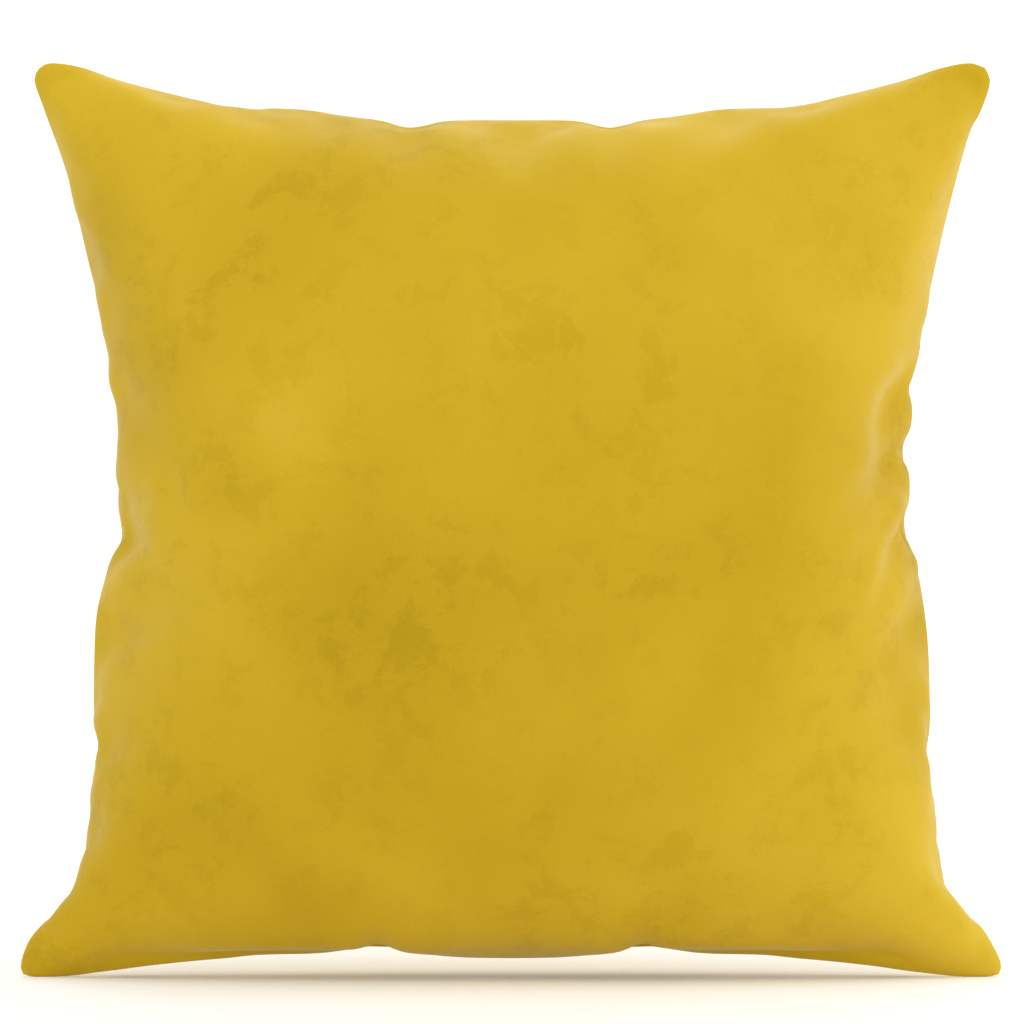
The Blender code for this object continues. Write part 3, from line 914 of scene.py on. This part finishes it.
class PILLOW_OT_insert(bpy.types.Operator):
    """Make the insert's case, its threads and its fill"""

    bl_idname = "pillow.insert"
    bl_label = "Filled insert"

    def execute(self, context):
        size = context.scene.pillow_insert
        cover = context.scene.pillow_size
        trees = cover_depths()
        cotton = material("cotton", woven_material, "cotton cambric", "#EDEBE4", "#D8D5CC", 8, 0.9)
        for side, name in SIDES:
            bm, place = cloth_grid(size.cells, cover.cut, side)
            for vert in bm.verts:
                u, v, _ = vert[place]
                x, z = insert_outline(size, u, v)
                depth = insert_depth(trees, side, size, x, z, u, v, 0.0)
                vert.co = x, side * (cover.seam_gap + depth), z
            case = add_object(f"insert_{name}", mesh_of(f"insert_{name}", bm), cotton, smooth=True)
            thicken(case, "cotton", size.cotton)
            stand_in(case, f"insert_case_{name}")
        self.threads(size, cover)
        self.fill(size, cover, trees)
        return {"FINISHED"}

    def threads(self, size, cover):
        """The machine seam round three sides, and the hand stitches that close the fourth."""
        finish = white_thread()
        cells = 96
        outside = 1.004
        beside = 0.0004
        high, low = 0.0005, -0.0001
        route = []
        for u, v in around_seam(cells):
            x, z = insert_outline(size, u * outside, v)
            route.append(Vector((x + u * beside, z + v * beside)))
        points = []
        for number, (x, z) in enumerate(stations(route, cover.stitch / 2)):
            points.append((x, -(cover.seam_gap + (high if number % 2 else low)), z))
        made = thread_object("insert_seam", points, cover.thread, finish)
        stand_in(made, "insert_seam_thread")
        points = []
        length = 0.16
        half_foot = 0.175
        count = 48
        below = 0.0008
        swing = 0.0006
        rise = 0.0004
        thickness = cover.thread * 1.3
        for step in range(count + 1):
            x = length * (step / count - 0.5)
            z = insert_outline(size, x / half_foot, -1.0)[1] - below
            points.append((x, swing * (-1) ** step, z + rise * (step % 2)))
        made = thread_object("insert_closing", points, thickness, finish)
        stand_in(made, "insert_closing_stitch")

    def fill(self, size, cover, trees):
        """The fibre, lumpy under its case."""
        share = 0.985
        air = 0.0006
        lumps_per_metre = 40
        apart = 0.1
        whole = bmesh.new()
        for side, _ in SIDES:
            bm, place = cloth_grid(size.cells, cover.cut, side)
            for vert in bm.verts:
                u, v, _ = (share * c for c in vert[place])
                x, z = insert_outline(size, u, v)
                edge = max(abs(vert[place].x), abs(vert[place].y)) >= 1
                wave = noise.noise(Vector((x, side * apart, z)) * lumps_per_metre)
                lump = size.lumps * (0.5 + 0.5 * wave)
                depth = insert_depth(trees, side, size, x, z, u, v, size.cotton + air + lump)
                vert.co = x, 0.0 if edge else side * depth, z
            mesh = mesh_of("fill", bm)
            whole.from_mesh(mesh)
            bpy.data.meshes.remove(mesh)
        bmesh.ops.remove_doubles(whole, verts=whole.verts, dist=1e-6)
        fill = add_object("fibre", mesh_of("fibre", whole), material("fibre", fibre_material), smooth=True)
        stand_in(fill, "fibre_fill")


# ---- The care label


class PILLOW_OT_label(bpy.types.Operator):
    """Sew a blank ribbon into the left seam"""

    bl_idname = "pillow.label"
    bl_label = "Care label"

    def execute(self, context):
        low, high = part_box("care_label")
        width = high.z - low.z
        length = 0.022
        steps, columns = 24, 3
        at_v = -0.36
        start_x = seam_point(-1.0, at_v).x + 0.0065
        shallow, under_cover, slope = 0.0016, 0.0028, 1.6
        trees = cover_depths()
        bm = bmesh.new()
        uv = bm.loops.layers.uv.new("cloth")
        rows = []
        for step in range(steps + 1):
            x = start_x + length * (step / steps)
            row = []
            for column in range(columns + 1):
                z = low.z + column * width / columns
                hit = trees[FRONT].ray_cast(Vector((x, -RAY_START, z)), Vector((0, 1, 0)))[0]
                depth = max(shallow, abs(hit.y) - under_cover if hit else shallow)
                row.append(bm.verts.new((x, -min(depth, shallow + slope * (x - start_x)), z)))
            rows.append(row)
        for near, far in zip(rows, rows[1:]):
            for column in range(columns):
                face = bm.faces.new((near[column], far[column], far[column + 1], near[column + 1]))
                for loop in face.loops:
                    loop[uv].uv = loop.vert.co.x - start_x, loop.vert.co.z
        bmesh.ops.recalc_face_normals(bm, faces=bm.faces)
        tones = "#F1F0EC", "#DEDCD5"
        ribbon = material("ribbon", woven_material, "polyester satin ribbon", *tones, 4, 0.42, True, 0.0)
        label = add_object("care_ribbon", mesh_of("care_ribbon", bm), ribbon, smooth=True)
        thicken(label, "ribbon", 0.0002, offset=0.0)
        stand_in(label, "care_label")
        return {"FINISHED"}


# ---- The zip


def chain_height():
    """The height of the middle of the zip's chain."""
    low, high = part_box("zip_coil_front")
    return (low.z + high.z) / 2


class PILLOW_OT_zip(bpy.types.Operator):
    """Make the tapes, the coils and the stitching of the zip"""

    bl_idname = "pillow.zip"
    bl_label = "Zip chain"

    def execute(self, context):
        for side, name in SIDES:
            self.tape(side, name)
            self.coil(context.scene.pillow_zip, side, name)
            self.stitching(context.scene.pillow_size, side, name)
        for name in ("left", "right"):
            self.bar_tack(context.scene.pillow_size, name)
        return {"FINISHED"}

    def tape(self, side, name):
        """A tape that lies behind the coil and turns down beside the slot's lip."""
        low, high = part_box(f"zip_tape_{name}")
        inner_y, outer_y = sorted((abs(low.y), abs(high.y)))
        thick = 0.0006
        rows = 80
        profile = (
            (inner_y, high.z - thick), (outer_y - thick, high.z - thick), (outer_y - thick, low.z),
            (outer_y, low.z), (outer_y, high.z), (inner_y, high.z),
        )
        bm = bmesh.new()
        verts = [bm.verts.new((low.x, side * y, z)) for y, z in profile]
        start = bm.faces.new(verts)
        step = (high.x - low.x) / rows
        faces = [start]
        for _ in range(rows):
            made = bmesh.ops.extrude_face_region(bm, geom=faces)["geom"]
            bmesh.ops.translate(bm, verts=only(made, bmesh.types.BMVert), vec=(step, 0, 0))
            old = faces
            faces = only(made, bmesh.types.BMFace)
            if old != [start]:
                bmesh.ops.delete(bm, geom=old, context="FACES_ONLY")
        bmesh.ops.recalc_face_normals(bm, faces=bm.faces)
        weave = material("tape", woven_material, "woven polyester tape", "#C6A02C", "#96760F", 7, 0.75, False)
        made = add_object(f"tape_{name}", mesh_of(f"tape_{name}", bm), weave)
        stand_in(made, f"zip_tape_{name}")

    def coil(self, size, side, name):
        """A coil that leaves the middle free for the slider's blade."""
        low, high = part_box(f"zip_coil_{name}")
        centre_y = (low.y + high.y) / 2
        height = chain_height()
        radius = size.coil - size.wire
        per_turn = 10
        turns = int((high.x - low.x) / size.pitch)
        points = []
        for step in range(turns * per_turn + 1):
            angle = 2 * math.pi * step / per_turn
            x = low.x + size.wire + size.pitch * step / per_turn
            y = centre_y - side * radius * math.sin(angle)
            points.append((x, y, height + radius * math.cos(angle)))
        finish = material("nylon", nylon_material)
        stand_in(thread_object(f"coil_{name}", points, size.wire, finish), f"zip_coil_{name}")

    def stitching(self, size, side, name):
        """The row of stitches that holds a tape to its lip."""
        low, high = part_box(f"zip_stitch_{name}")
        y = (low.y + high.y) / 2
        z = (low.z + high.z) / 2
        per_stitch = 4
        dip = 0.0004
        count = int((high.x - low.x) / size.stitch) * per_stitch
        points = []
        for step in range(count + 1):
            depth = 0.0 if step % per_stitch else dip
            points.append((low.x + (high.x - low.x) * step / count, y - side * depth, z))
        made = thread_object(f"tape_stitch_{name}", points, size.thread, yellow_thread())
        stand_in(made, f"zip_stitch_{name}")

    def bar_tack(self, size, name):
        """A dense zigzag across the end of the zip."""
        low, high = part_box(f"zip_bar_tack_{name}")
        count = 26
        drop = 0.0003
        z = high.z - size.thread
        points = []
        for step in range(count + 1):
            x = high.x - size.thread if step % 2 else low.x + size.thread
            points.append((x, low.y + (high.y - low.y) * step / count, z - drop * (step % 2)))
        made = thread_object(f"bar_tack_{name}", points, size.thread, yellow_thread())
        stand_in(made, f"zip_bar_tack_{name}")


class PILLOW_OT_cast_parts(bpy.types.Operator):
    """Finish the slider, the pull and the stops"""

    bl_idname = "pillow.cast_parts"
    bl_label = "Zip slider, pull and stops"

    def execute(self, context):
        painted = material("painted", cast_material, "painted zinc", "#C19A22", "#A98514", 0.0, 0.34)
        bare = material("bare", cast_material, "zinc alloy", "#C9C6BE", "#A9A69E", 1.0, 0.38)
        finishes = (
            ("zip_slider", painted), ("zip_pull", painted), ("zip_top_stop_front", bare),
            ("zip_top_stop_back", bare), ("zip_bottom_stop", bare),
        )
        for name, finish in finishes:
            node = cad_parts[name]
            node.data.materials.clear()
            node.data.materials.append(finish)
            edges = node.modifiers.new("edges", "BEVEL")
            edges.width = context.scene.pillow_zip.edge
            edges.segments = 2
            edges.limit_method = "ANGLE"
            edges.harden_normals = False
        return {"FINISHED"}


# ---- The stage


def area_light(name, place, aim, size, watts):
    """A square softbox pointed at a place."""
    data = bpy.data.lights.new(name, "AREA")
    data.size = size
    data.energy = watts
    lamp = bpy.data.objects.new(name, data)
    lamp.location = place
    lamp.rotation_euler = (Vector(aim) - Vector(place)).to_track_quat("-Z", "Y").to_euler()
    lamp.visible_camera = False
    bpy.context.scene.collection.objects.link(lamp)


class PILLOW_OT_stage(bpy.types.Operator):
    """Set up the sweep, the lights and the camera"""

    bl_idname = "pillow.stage"
    bl_label = "Studio stage"

    def execute(self, context):
        self.sweep()
        self.lights(context.scene)
        self.camera(context.scene)
        return {"FINISHED"}

    def sweep(self):
        """A floor that curves up into a wall."""
        half, near, bend, radius, height = 5.0, -5.0, 4.0, 0.8, 4.0
        steps = 12
        profile = [(near, 0.0), (bend, 0.0)]
        for step in range(1, steps + 1):
            angle = math.pi / 2 * step / steps
            profile.append((bend + radius * math.sin(angle), radius - radius * math.cos(angle)))
        profile.append((bend + radius, height))
        bm = bmesh.new()
        rows = [[bm.verts.new((x, y, z)) for x in (-half, half)] for y, z in profile]
        for start, end in zip(rows, rows[1:]):
            bm.faces.new((start[0], start[1], end[1], end[0]))
        # White background paper, lit a little from behind
        paper, _, _ = new_material(
            "matt white paper", Base_Color=linear("#F6F6F4"), Roughness=0.95,
            Emission_Color=linear("#FFFFFF"), Emission_Strength=0.13,
        )
        sweep = add_object("sweep", mesh_of("sweep", bm), paper, smooth=True)

    def lights(self, scene):
        """An even studio with softboxes above, in front and at both sides."""
        world = bpy.data.worlds.new("studio")
        world.use_nodes = True
        background = world.node_tree.nodes["Background"]
        background.inputs["Color"].default_value = (1.0, 1.0, 1.0, 1.0)
        background.inputs["Strength"].default_value = 0.665
        scene.world = world
        centre = (0.0, 0.0, 0.19)
        # Name, place, what it is pointed at, side and power in watts
        softboxes = (
            ("top softbox", (0.0, -0.45, 1.5), centre, 1.1, 6.8),
            ("top rim", (0.0, 0.7, 1.1), centre, 0.8, 2.8),
            ("right softbox", (1.4, 0.05, 0.5), centre, 0.8, 5.4),
            ("left softbox", (-1.4, 0.05, 0.5), centre, 0.8, 1.2),
            ("front fill", (0.0, -2.7, 0.35), centre, 1.0, 3.5),
            ("backdrop light", (0.0, 1.8, 1.9), (0.0, 4.0, 0.1), 1.6, 36),
        )
        for softbox in softboxes:
            area_light(*softbox)

    def camera(self, scene):
        """A long lens at the pillow's middle height, straight in front."""
        lens = bpy.data.cameras.new("camera")
        lens.lens = 200
        lens.sensor_width = 36
        lens.clip_end = 20
        made = bpy.data.objects.new("camera", lens)
        made.location = 0.0004, -2.298, 0.1877
        made.rotation_euler = math.radians(90), 0, 0
        scene.collection.objects.link(made)
        scene.camera = made
        scene.view_settings.view_transform = "Standard"


# ---- The add-on


class PILLOW_PT_panel(bpy.types.Panel):
    """Throw pillow"""

    bl_label = "Throw Pillow"
    bl_idname = "PILLOW_PT_panel"
    bl_space_type = "VIEW_3D"
    bl_region_type = "UI"
    bl_category = "Pillow"

    def draw(self, context):
        layout = self.layout
        for name, group in SCENE_PROPERTIES:
            column = layout.column(align=True)
            for key in group.__annotations__:
                column.prop(getattr(context.scene, name), key)
        for operator in OPERATORS:
            layout.operator(operator.bl_idname)


OPERATORS = (
    PILLOW_OT_cover,
    PILLOW_OT_seam,
    PILLOW_OT_insert,
    PILLOW_OT_label,
    PILLOW_OT_zip,
    PILLOW_OT_cast_parts,
    PILLOW_OT_stage,
)
CLASSES = (PillowSize, ClothSettings, InsertSize, ZipSize, *OPERATORS, PILLOW_PT_panel)


def register():
    """Add the classes and the scene's settings."""
    for made in CLASSES:
        bpy.utils.register_class(made)
    for name, group in SCENE_PROPERTIES:
        setattr(bpy.types.Scene, name, PointerProperty(type=group))


def unregister():
    """Take away what register added."""
    for name, _ in SCENE_PROPERTIES:
        delattr(bpy.types.Scene, name)
    for made in reversed(CLASSES):
        bpy.utils.unregister_class(made)


def main():
    """Build the pillow and its stage."""
    register()
    bpy.ops.pillow.cover()
    bpy.ops.pillow.seam()
    bpy.ops.pillow.insert()
    bpy.ops.pillow.label()
    bpy.ops.pillow.zip()
    bpy.ops.pillow.cast_parts()
    bpy.ops.pillow.stage()


if __name__ == "__main__":
    main()
